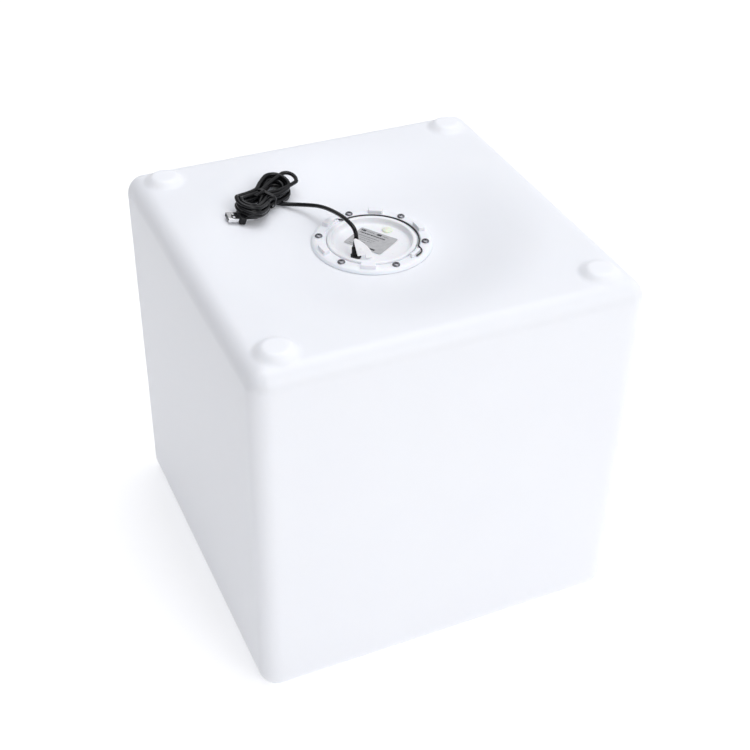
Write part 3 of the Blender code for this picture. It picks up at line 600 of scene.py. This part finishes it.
def cube_wall(bm, lines, bend_radius, hole, height, stops=()):
    """One wall surface of the rounded cube as a quad grid, with a round hole in the top face.

    height(x, y) is added to the top face. Between the bends the sides have grid rows at the stops only.
    Returns the hole's rim, in order round the axis."""
    core = FLAT_HALF
    last = len(lines) - 1
    verts = {}

    def vert(key):
        if key in verts:
            return verts[key]
        q = Vector(tuple(lines[index] for index in key))
        inner = Vector(tuple(min(max(c, -core), core) for c in q))
        p = inner + (q - inner).normalized() * bend_radius
        p.z += SIDE / 2
        if key[2] == last:
            p.x, p.y = on_circles(p.x, p.y)
            p.z += height(p.x, p.y)
        verts[key] = bm.verts.new(p)
        return verts[key]

    def is_row(line):
        return abs(line) >= core - TINY or any(abs(abs(line) - stop) < TINY for stop in stops)

    rows = [k for k, line in enumerate(lines) if is_row(line)]
    for i in range(last):
        for j in range(last):
            corners = [(i, j), (i + 1, j), (i + 1, j + 1), (i, j + 1)]
            reach = max(max(abs(lines[a]), abs(lines[b])) for a, b in corners)
            if reach > hole + TINY:
                bm.faces.new([vert((a, b, last)) for a, b in corners])
            if reach > core + TINY:
                bm.faces.new([vert((a, b, 0)) for a, b in reversed(corners)])
    for side in (0, last):
        for i in range(last):
            for low, high in zip(rows, rows[1:]):
                bm.faces.new([vert((side, i, low)), vert((side, i + 1, low)),
                              vert((side, i + 1, high)), vert((side, i, high))])
                bm.faces.new([vert((i, side, low)), vert((i + 1, side, low)),
                              vert((i + 1, side, high)), vert((i, side, high))])
    flat = [k for k, line in enumerate(lines) if abs(line) <= core + TINY]
    first, final = flat[0], flat[-1]
    loop = [(k, first) for k in flat] + [(final, k) for k in flat[1:]]
    loop += [(k, final) for k in reversed(flat[:-1])] + [(first, k) for k in reversed(flat[1:-1])]
    bm.faces.new([vert((a, b, 0)) for a, b in loop])
    rim = [v for (i, j, k), v in verts.items()
           if k == last and abs(max(abs(lines[i]), abs(lines[j])) - hole) < TINY]
    return sorted(rim, key=lambda v: math.atan2(v.co.y, v.co.x))


def make_shell():
    """The hollow cube: its outer and inner walls, joined through the neck of the mouth."""
    bm = bmesh.new()
    spans = (
        (NECK_RADIUS - 3.0, 11), (NECK_RADIUS, 1), (DISH_FLAT_RADIUS, 5), (GRID_STOP, 16), (FLAT_HALF, 23),
    )
    lines = skin_lines(spans, EDGE_RADIUS, 7)

    def inner_height(x, y):
        return dish_z(math.hypot(x, y)) - SIDE

    def outer_height(x, y):
        return inner_height(x, y) + foot_rise(x, y)

    stops = (0.0, DISH_FLAT_RADIUS, GRID_STOP)
    mouth = cube_wall(bm, lines, EDGE_RADIUS, NECK_RADIUS, outer_height, stops)

    inner_spans = ((DISH_FLAT_RADIUS, 3), (GRID_STOP, 3), (FLAT_HALF, 2))
    inner_bend = EDGE_RADIUS - WALL
    inner_lines = skin_lines(inner_spans, inner_bend, 3)
    inner_rim = cube_wall(bm, inner_lines, inner_bend, DISH_FLAT_RADIUS, inner_height)
    neck = [mouth]
    neck_profile = [
        (NECK_RADIUS, PAD_Z - 6.0), (NECK_RADIUS, NECK_BOTTOM_Z), (NECK_OUTER_RADIUS, NECK_BOTTOM_Z),
        (NECK_OUTER_RADIUS + 0.5, PAD_Z - WALL - 2.0),
    ]
    for radius, z in neck_profile:
        neck.append([bm.verts.new(polar(radius, math.atan2(v.co.y, v.co.x), z)) for v in mouth])
    skin_rows(bm, neck)
    edges = []
    for row in (neck[-1], inner_rim):
        for a, b in zip(row, row[1:] + row[:1]):
            edges.append(bm.edges.get((a, b)) or bm.edges.new((a, b)))
    bmesh.ops.bridge_loops(bm, edges=edges)
    finish_bmesh(bm)
    return to_object("shell_skin", bm, 40)


# ---------------------------------------------------------------- the ring and its fastenings

def make_ring():
    """The ring with its ledge, lugs and screw holes, a skirt down to the dish, and the wire's slot."""
    skirt, ledge = PAD_Z + 0.35, RING_BOTTOM_Z + 1.0
    profile = [
        (RING_INNER_RADIUS, RING_BOTTOM_Z), (RING_INNER_RADIUS, ledge), (RING_LEDGE_RADIUS, ledge),
        (RING_LEDGE_RADIUS, RING_TOP_Z), (RING_FLAT_RADIUS, RING_TOP_Z), (59.2, RING_TOP_Z - 0.9),
        (60.9, skirt + 0.8), (61.3, skirt), (RING_SKIRT_RADIUS, skirt), (RING_SKIRT_RADIUS, RING_BOTTOM_Z),
    ]
    joins = []
    for k, angle in enumerate(LUG_ANGLES):
        outer = 53.4 if k == HOOK_LUG else RING_FLAT_RADIUS
        joins.append(arc_block(49.8, outer, RING_TOP_Z - 1.2, LUG_TOP_Z, angle, math.radians(8), 0.7))
    cuts = []
    for angle in SCREW_ANGLES:
        cuts.append(drum(2.3, RING_BOTTOM_Z - 2, RING_TOP_Z + 2, 30, polar(SCREW_CIRCLE, angle)))
    slot_turn = Matrix.Rotation(math.radians(-32), 3, "Z")
    cuts.append(soft_block((10.0, 3.6, 8.0), 1.2, (-14.6, 47.3, RING_TOP_Z), slot_turn))
    return carved("mounting_ring_fine", lathe(profile, 120, rounding=0.5), joins, cuts)


def make_screw(name, angle):
    """A pan-head screw with a cross recess and ridges for its thread."""
    head = RING_TOP_Z + 0.3
    profile = [
        (0, head + 1.9), (1.2, head + 1.88), (2.4, head + 1.7), (3.2, head + 1.35), (3.7, head + 0.85),
        (3.9, head + 0.35), (3.9, head), (1.9, head),
    ]
    turns, pitch = 7, 1.5
    for k in range(turns):
        top = head - 1.2 - pitch * k
        profile += [(1.55, top - 0.2), (1.9, top - 0.55), (1.9, top - 0.75), (1.55, top - 1.1)]
    profile += [(1.5, head - 12.4), (0, head - 13.5)]
    place = polar(SCREW_CIRCLE, angle)
    recess = place + Vector((0, 0, head + 2.35))
    cuts = []
    for arm in range(2):
        turn = Matrix.Rotation(angle + 0.35 + math.pi / 2 * arm, 3, "Z")
        cuts.append(soft_block((4.4, 0.95, 3.0), 0.25, recess, turn, 1))
    return carved(name, lathe(profile, 40, place), cuts=cuts, smooth_angle=30)


def make_wire_and_groove_shade():
    """The coated spring wire: it drops into the slot at one end and curls round a lug at the other. Its
    black along the groove is partly painted shade: it stands in for the shaded gap line between cap and
    ring.
    """
    ledge, top = 383.15, 384.65
    route = [Vector((-16.2, 48.2, ledge)), Vector((-12.8, 46.4, ledge))]
    first, last, steps = math.radians(101), math.radians(-35), 24
    route += [polar(47.5, first + (last - first) * k / steps, ledge) for k in range(steps + 1)]
    hook = [(47.9, -39.4), (50.2, -42.8), (53.0, -46.0), (54.9, -50.0), (55.1, -55.5), (55.0, -60.5)]
    route += [polar(radius, math.radians(degrees), top) for radius, degrees in hook]
    return round_wire("retaining_wire_groove_shade_fine", smooth_route(route, 4), WIRE_RADIUS)


# ---------------------------------------------------------------- the lamp unit's upper side

def make_cap():
    """The cap with its bowl, seal groove and locking lugs, three screw bosses and two holes in the floor."""
    floor_bottom = FLOOR_Z - 3.0
    profile = [
        (0, FLOOR_Z), (36.6, FLOOR_Z), (39.0, FLOOR_Z + 0.6), (40.2, FLOOR_Z + 2.4), (41.0, CAP_RIM_Z - 0.6),
        (41.8, CAP_RIM_Z), (44.7, CAP_RIM_Z), (45.5, CAP_RIM_Z - 0.8), (45.5, 371.6), (43.7, 371.6),
        (43.7, 368.0), (45.5, 368.0), (45.5, 362.0), (42.0, 362.0), (42.0, floor_bottom), (0, floor_bottom),
    ]
    joins = [arc_block(43.2, 49.2, 362.4, 366.4, math.radians(61.7 + 120 * k), math.radians(10), 0.5)
             for k in range(3)]
    cuts = []
    for k in range(3):
        place = polar(34.0, math.radians(2.3 + 120 * k))
        joins.append(drum(3.0, 365.8, floor_bottom + 1, 32, place))
        cuts.append(drum(1.3, 363.5, 372.5, 24, place))
    for place, radius in ((JACK, 4.3), (BUTTON, 5.8)):
        cuts.append(drum(radius, -6, 6, 48, place))
    return carved("lamp_cap_fine", lathe(profile, 144, rounding=0.5), joins, cuts)


def make_label():
    """The film label, with rounded corners and a corner that lifts a little."""
    wide, deep = LABEL_SIZE[0] / 2, LABEL_SIZE[1] / 2
    corner, half_film = 1.6, 0.07
    columns, rows_up = 24, 20
    bm = bmesh.new()
    uv_layer = bm.loops.layers.uv.new("UVMap")
    turn = Matrix.Rotation(LABEL_TURN, 3, "Z")

    def point(u, v, side):
        x, y = wide * (2 * u - 1), deep * (2 * v - 1)
        over_x, over_y = abs(x) - (wide - corner), abs(y) - (deep - corner)
        if over_x > 0 and over_y > 0:
            squash = corner / max(corner, math.hypot(over_x, over_y))
            x = math.copysign(wide - corner + over_x * squash, x)
            y = math.copysign(deep - corner + over_y * squash, y)
        wave = 0.03 * math.sin(0.45 * x) * math.cos(0.38 * y)
        lift = 0.35 * smoothstep((x / wide + y / deep - 1.55) / 0.45)
        return LABEL_CENTRE + turn @ Vector((x, y, wave + lift + side))

    grids = []
    for side in (-half_film, half_film):
        grids.append([[bm.verts.new(point(i / columns, j / rows_up, side)) for j in range(rows_up + 1)]
                      for i in range(columns + 1)])
    for grid, is_under in zip(grids, (True, False)):
        for i in range(columns):
            for j in range(rows_up):
                cell = [(i, j), (i + 1, j), (i + 1, j + 1), (i, j + 1)]
                if is_under:
                    cell.reverse()
                face = bm.faces.new([grid[a][b] for a, b in cell])
                for loop, (a, b) in zip(face.loops, cell):
                    loop[uv_layer].uv = (a / columns, b / rows_up)
    rim = [(i, 0) for i in range(columns + 1)] + [(columns, j) for j in range(1, rows_up + 1)]
    rim += [(i, rows_up) for i in range(columns - 1, -1, -1)] + [(0, j) for j in range(rows_up - 1, 0, -1)]
    skin_rows(bm, [[grid[a][b] for a, b in rim] for grid in grids])
    bmesh.ops.recalc_face_normals(bm, faces=bm.faces)
    return to_object("rating_label_fine", bm)


def make_button():
    """The soft cover: a shallow dome, a flange under the floor, and a stem that meets the switch."""
    profile = [
        (0, 1.8), (1.6, 1.77), (3.0, 1.62), (3.5, 1.5), (3.75, 1.4), (4.0, 1.38), (4.3, 1.3), (4.9, 1.0),
        (5.4, 0.45), (5.62, 0.0), (5.6, -2.6), (5.4, -3.3), (6.9, -3.3), (6.9, -4.2), (2.0, -4.2),
        (2.0, -5.0), (0, -5.0),
    ]
    return to_object("power_button_fine", lathe(profile, 72, BUTTON))


def make_nut():
    """A round nut with grip notches, on the jack's thread."""
    profile = [(4.2, 0.3), (5.3, 0.3), (5.3, 3.2), (4.2, 3.2)]
    notches = 12
    cuts = []
    for k in range(notches):
        place = JACK + polar(5.6, 2 * math.pi * (k + 0.37) / notches, 1.9)
        cuts.append(drum(0.6, -2.4, 2.4, 12, place))
    return carved("socket_nut_fine", lathe(profile, 60, JACK, 0.35), cuts=cuts)


def make_flap():
    """The soft dust cover: a tapered tongue that stands on its foot, with a stub that seals the jack."""
    outline = [
        (-11.0, 1.0), (-10.4, 5.0), (-11.6, 8.5), (-15.5, 14.0), (-21.0, 20.0), (-26.6, 24.6), (-29.0, 24.8),
        (-29.4, 22.4), (-27.4, 13.0), (-26.0, 6.4), (-24.6, 5.2), (-17.6, 5.0), (-17.0, 1.0),
    ]
    lean = Matrix.Translation((0, -23.2, FLOOR_Z)) @ Matrix.Rotation(math.radians(86.5), 4, "X")
    tongue = plate(smooth_route(outline, 5, closed=True), 1.2, 0.35, lean)
    stub = lathe([(0, 1.5), (1.9, 1.5), (2.5, 1.0), (2.5, 0.6), (0, 0.6)], 32, rounding=0.2)
    bmesh.ops.transform(stub, matrix=lean @ Matrix.Translation((-21.5, 11.5, 0)), verts=stub.verts)
    return carved("port_flap_fine", tongue, joins=[stub])


# ---------------------------------------------------------------- the charging lead

def make_charge_plug():
    """The round grip with four shallow rings."""
    profile = [(0, 3.5), (3.8, 3.5), (4.3, 4.0), (4.3, 5.0)]
    for k in range(4):
        low = 5.3 + 1.3 * k
        profile += [(4.3, low), (4.0, low + 0.2), (4.0, low + 0.5), (4.3, low + 0.7)]
    profile += [(4.3, 10.6), (3.8, 11.8), (2.9, 12.5), (0, 12.5)]
    return to_object("charge_plug_fine", lathe(profile, 64, JACK), 50)


def make_relief():
    """The tapered strain relief, ringed by grooves that leave it flexible."""
    bottom, top, ribs = 12.8, 23.3, 6
    profile = [(0, bottom), (3.1, bottom), (3.1, bottom + 1.2)]
    step = (top - bottom - 2.0) / ribs
    for k in range(ribs):
        low = bottom + 1.4 + step * k
        outer = 3.0 - 0.15 * k
        profile += [(outer - 0.55, low), (outer - 0.55, low + 0.45), (outer, low + 0.6)]
        profile.append((outer - 0.05, low + step - 0.1))
    profile += [(2.1, top - 0.3), (2.0, top), (0, top)]
    return to_object("strain_relief_fine", lathe(profile, 48, JACK), 50)


def on_dish(u, v, w):
    """A point of the hank: along it, across it, and above the base's surface there."""
    flat = HANK_CENTRE + Matrix.Rotation(HANK_TURN, 2) @ Vector((u, v))
    return Vector((flat.x, flat.y, dish_z(flat.length) + w))


def tie_to_world():
    """From the tie's own axes (along, across and above the hank) to the world's."""
    middle = on_dish(0.0, 0.0, 0.0)
    return Matrix.Translation(middle) @ Euler((HANK_TILT, 0.0, HANK_TURN), "XYZ").to_matrix().to_4x4()


# A long loop of the hank: its layer, the radius of its folds, how far it reaches to the left and to the
# right of the tie, half its width at the tie, and how far its right end leans across
Loop = namedtuple("Loop", "layer bend left right gap lean")


def hank_points():
    """The spare length folded into a hank: four layers of long loops, drawn in at the tie."""
    shake = random.Random(7)
    heights = [2.5, 6.8, 11.1, 15.4]
    swings = [math.radians(a) for a in (2.0, -3.5, 4.5, -3.0)]
    loops = [
        Loop(0, 13.2, 39.5, 39.0, 8.6, 0.0),
        Loop(1, 13.2, 39.3, 38.4, 8.6, 0.0),
        Loop(1, 8.9, 34.6, 33.6, 4.3, 0.0),
        Loop(2, 8.9, 35.6, 34.0, 4.3, 0.0),
        Loop(2, 13.2, 40.0, 39.2, 8.6, 0.0),
        Loop(3, 13.0, 38.6, 38.4, 8.5, 0.0),
        Loop(3, 8.8, 33.8, 48.5, 4.2, -5.5),
    ]

    def placed(loop, u, v, height=None):
        """A point of a loop, swung with its layer, lifted over the far plug and shaken a little."""
        jolt, jolt_up = 0.2, 0.1
        turn = swings[loop.layer]
        x = u * math.cos(turn) - v * math.sin(turn) * 0.5
        y = u * math.sin(turn) * 0.55 + v + loop.lean * smoothstep((u - 6.0) / 30.0)
        w = heights[loop.layer] if height is None else height
        if w > 5.0:
            w += PLUG_LIFT * smoothstep((-x - 18.0) / 14.0)
        return (x + shake.uniform(-jolt, jolt), y + shake.uniform(-jolt, jolt),
                w + shake.uniform(-jolt_up, jolt_up))

    def fold_middle(loop, side):
        return side * ((loop.right if side > 0 else loop.left) - loop.bend)

    def fold(loop, side):
        """The half turn at one end of a loop."""
        centre = fold_middle(loop, side)
        start = math.pi / 2 * side
        turns = [start - math.pi / 6 * k for k in range(7)]
        return [placed(loop, centre + loop.bend * math.cos(a), loop.bend * math.sin(a)) for a in turns]

    def run(loop, side, hand):
        """The middle point of a run, between a fold and the tie."""
        v = loop.gap + 0.62 * (loop.bend - loop.gap)
        return placed(loop, 0.48 * fold_middle(loop, side), hand * v)

    def waist(first, second, hand):
        """The point at the tie where one loop passes into the next."""
        height = (heights[first.layer] + heights[second.layer]) / 2
        return placed(first, 0.0, hand * (first.gap + second.gap) / 2, height)

    start, second = loops[0], loops[1]
    points = [(13.0, -8.6, 2.5), (11.9, -3.6, 2.4), (12.4, 1.6, 2.4), (15.2, 7.2, 2.4), (20.0, 11.4, 2.4)]
    points += fold(start, 1) + [placed(start, 19.5, -12.9, 4.6), placed(start, 12.4, -11.6, 6.8)]
    points.append(placed(second, 0.0, -second.gap, 7.0))
    before = second
    for loop in loops[1:]:
        if loop is not second:
            points.append(waist(before, loop, -1))
        points.append(run(loop, -1, -1))
        points += fold(loop, -1)
        points += [run(loop, -1, 1), placed(loop, 0.0, loop.gap), run(loop, 1, 1)]
        points += fold(loop, 1)
        points.append(run(loop, 1, -1))
        before = loop
    points += [(2.0, -1.2, 15.0), (-5.5, -0.6, 12.6), (-12.0, -2.0, 8.6), (-18.0, -4.4, 5.0)]
    points.append((-24.0, -6.6, 3.8))
    return [on_dish(*p) for p in points]


def usb_point(x, y=0.0, z=0.0):
    """A place on the far plug, measured from where the cord enters it, with the plug towards -X."""
    return USB_TIP + USB_LIE @ Vector((x, y, z))


def make_cord():
    """The whole lead in one piece, from the strain relief to the far plug."""
    route = LEAD_ROUTE + hank_points() + [usb_point(3.5), usb_point(-1.5)]
    return round_wire("charging_lead", smooth_route(route), CORD_RADIUS)


def make_tie():
    """A flat coated twist tie round the hank's waist, its two ends twisted together and left standing."""
    world = tie_to_world()
    wide, low, high, corner = 11.6, 3.4, 18.6, 5.0
    knot, tail_steps, tail_turns = Vector((0.0, 3.5, high + 0.3)), 24, 2.2
    ring = []
    centres = [(wide - corner, low + corner, -90), (wide - corner, high - corner, 0),
               (corner - wide, high - corner, 90), (corner - wide, low + corner, 180)]
    for v, w, start in centres:
        for k in range(7):
            angle = math.radians(start + 15 * k)
            ring.append(Vector((0.0, v + corner * math.cos(angle), w + corner * math.sin(angle))))
    bm = bmesh.new()
    band = [
        (-1.9, -0.22), (-1.9, 0.22), (-1.0, 0.3), (-0.55, 0.5), (0.0, 0.6), (0.55, 0.5), (1.0, 0.3),
        (1.9, 0.22), (1.9, -0.22), (0.0, -0.28),
    ]
    rows = []
    for i, p in enumerate(ring):
        along = (ring[(i + 1) % len(ring)] - ring[i - 1]).normalized()
        out = Vector((0, along.z, -along.y))
        rows.append([bm.verts.new(world @ (p + Vector((x, 0, 0)) + out * y)) for x, y in band])
    skin_rows(bm, rows, closed=True)
    for hand in (0.0, math.pi):
        tail = []
        for k in range(tail_steps + 1):
            t = k / tail_steps
            twist = hand + tail_turns * 2 * math.pi * min(t * 2.0, 1.0)
            spread = 0.75 + (6.0 * (t - 0.5) ** 1.3 if t > 0.5 else 0.0)
            centre = knot + Vector((-13.0 * t, 3.0 * t, -1.2 * t * t - 0.2))
            tail.append(centre + Vector((0, math.cos(twist) * spread, abs(math.sin(twist)) * 0.7)))
        ends = []
        for i, p in enumerate(tail):
            along = (tail[min(i + 1, tail_steps)] - tail[max(i - 1, 0)]).normalized()
            side = along.cross(Vector((0, 0, 1))).normalized()
            up = side.cross(along)
            ends.append([bm.verts.new(world @ (p + side * x * 0.42 + up * y)) for x, y in band])
        skin_rows(bm, ends)
        bm.faces.new(ends[0])
        bm.faces.new(ends[-1])
    bmesh.ops.recalc_face_normals(bm, faces=bm.faces)
    return to_object("hank_tie_fine", bm)


def make_usb():
    """The far end's plug: a grip with side dents, and an open metal shell with windows and a tongue."""
    grip = soft_block((7.0, 16.0, 8.0), 1.6, usb_point(-3.5), USB_LIE, 4)
    dents = []
    for side in (-1, 1):
        for k in range(3):
            place = usb_point(-2.0 - 1.6 * k, side * 8.3)
            dents.append(soft_block((0.7, 1.2, 5.0), 0.25, place, USB_LIE, 2))
    grip_obj = carved("usb_plug_fine", grip, cuts=dents, smooth_angle=40)
    middle = -13.05
    shell = soft_block((11.5, 12.0, 4.5), 0.5, usb_point(middle), USB_LIE)
    cuts = [soft_block((11.5, 11.4, 3.9), 0.3, usb_point(middle - 1.2), USB_LIE, 2)]
    for side in (-1, 1):
        cuts.append(soft_block((2.3, 2.5, 7.0), 0.3, usb_point(middle + 0.6, 2.6 * side), USB_LIE, 2))
    shell_obj = carved("usb_shell_fine", shell, cuts=cuts, smooth_angle=40)
    tongue = soft_block((9.6, 10.9, 1.7), 0.3, usb_point(middle + 0.2, 0.0, 0.95), USB_LIE, 2)
    return grip_obj, shell_obj, to_object("usb_tongue", tongue)


# ---------------------------------------------------------------- stage, light and camera

def make_stage():
    """A plain pale floor just under the cube."""
    bm = bmesh.new()
    reach, drop = 9.0, -0.0004
    corners = [bm.verts.new((x * reach, y * reach, drop)) for x, y in ((-1, -1), (1, -1), (1, 1), (-1, 1))]
    bm.faces.new(corners)
    mesh = bpy.data.meshes.new("floor")
    bm.to_mesh(mesh)
    bm.free()
    floor = add_object("floor", mesh)
    paper = Recipe("white_floor", (0.93, 0.93, 0.935), 0.85)
    paper.shader.inputs["Emission Color"].default_value = (1.0, 1.0, 1.0, 1.0)
    paper.shader.inputs["Emission Strength"].default_value = 0.34
    paper.grain(900.0, 0.03)
    floor.data.materials.append(paper.material)


def add_area(name, place, aim, size, power, colour=(1.0, 1.0, 1.0)):
    light = bpy.data.lights.new(name, "AREA")
    light.shape = "RECTANGLE"
    light.size, light.size_y = size
    light.energy = power
    light.color = colour
    lamp = add_object(name, light)
    lamp.location = place
    lamp.rotation_euler = (Vector(aim) - Vector(place)).to_track_quat("-Z", "Y").to_euler()


def make_lights():
    """Soft light all round, dimmer from the left, with one broad light in front and another above."""
    world = bpy.data.worlds.new("studio")
    world.use_nodes = True
    bpy.context.scene.world = world
    tree = world.node_tree
    background = tree.nodes["Background"]
    background.inputs["Color"].default_value = (0.972, 0.976, 1.0, 1.0)
    parts = tree.nodes.new("ShaderNodeSeparateXYZ")
    tree.links.new(tree.nodes.new("ShaderNodeTexCoord").outputs["Generated"], parts.inputs[0])
    side = tree.nodes.new("ShaderNodeMapRange")
    for key, number in (("From Min", -0.9), ("From Max", 0.5), ("To Min", 0.24), ("To Max", 0.66)):
        side.inputs[key].default_value = number
    tree.links.new(parts.outputs["X"], side.inputs["Value"])
    tree.links.new(side.outputs["Result"], background.inputs["Strength"])
    add_area("key", (0.7, -2.8, 2.1), (0, 0, 0.25), (1.8, 1.8), 30.0)
    add_area("top", (0.3, 0.4, 3.0), (0, 0, 0.4), (2.0, 2.0), 37.0, (0.955, 0.97, 1.0))


def make_camera():
    camera = add_object("camera", bpy.data.cameras.new("camera"))
    camera.data.sensor_width = 36.0
    camera.data.lens = 64.72
    camera.data.clip_start = 0.05
    camera.location = (-0.47996, -1.05767, 1.08938)
    camera.rotation_euler = (math.radians(52.94), math.radians(-0.924), math.radians(-24.0))
    bpy.context.scene.camera = camera
    bpy.context.scene.view_settings.view_transform = "Standard"


# ---------------------------------------------------------------- everything together

def build():
    materials = make_materials()
    make_stage()
    make_lights()
    make_camera()

    for row in frame["record"]["subparts"]:
        node = frame["nodes"].get(row["node"])
        if node is None:
            continue
        node.data.materials.clear()
        node.data.materials.append(materials[row["material_slot"]])
        soften(node.data)

    dress(make_shell(), materials["shell"], "shell", "shell", "shell")
    dress(make_ring(), materials["ring_plastic"], "shell", "ring_plastic", "mounting_ring")
    for k, angle in enumerate(SCREW_ANGLES):
        screw = make_screw(f"ring_screw_fine_{k + 1}", angle)
        dress(screw, materials["screw_steel"], "shell", "screw_steel", f"ring_screw_{k + 1}")
    # The black wire is partly painted shade: its dark colour gives the shaded groove line between cap and
    # ring.
    dress(make_wire_and_groove_shade(), materials["black_wire"], "shell", "black_wire", "retaining_wire")

    dress(make_cap(), materials["cap_plastic"], "lamp_unit", "cap_plastic", "lamp_cap")
    dress(make_label(), materials["silver_label"], "lamp_unit", "silver_label", "rating_label")
    dress(make_nut(), materials["black_plastic"], "lamp_unit", "black_plastic", "socket_nut")
    dress(make_button(), materials["button_silicone"], "button", "button_silicone", "power_button")
    dress(make_flap(), materials["flap_silicone"], "flap", "flap_silicone", "port_flap")

    plug = dress(make_charge_plug(), materials["plug_rubber"], "lead", "cord_rubber", "charge_plug")
    relief = dress(make_relief(), materials["plug_rubber"], "lead", "cord_rubber", "strain_relief")
    tie = dress(make_tie(), materials["tie_black"], "lead", "tie_black", "hank_tie")
    grip, shell, tongue = make_usb()
    dress(grip, materials["plug_rubber"], "lead", "cord_rubber", "usb_plug")
    dress(shell, materials["nickel"], "lead", "nickel", "usb_shell")
    dress(tongue, materials["cap_plastic"], "lead", "cap_plastic")
    cord = dress(make_cord(), materials["cord_rubber"], "lead", "cord_rubber", "charge_lead", "lead_hank")


build()
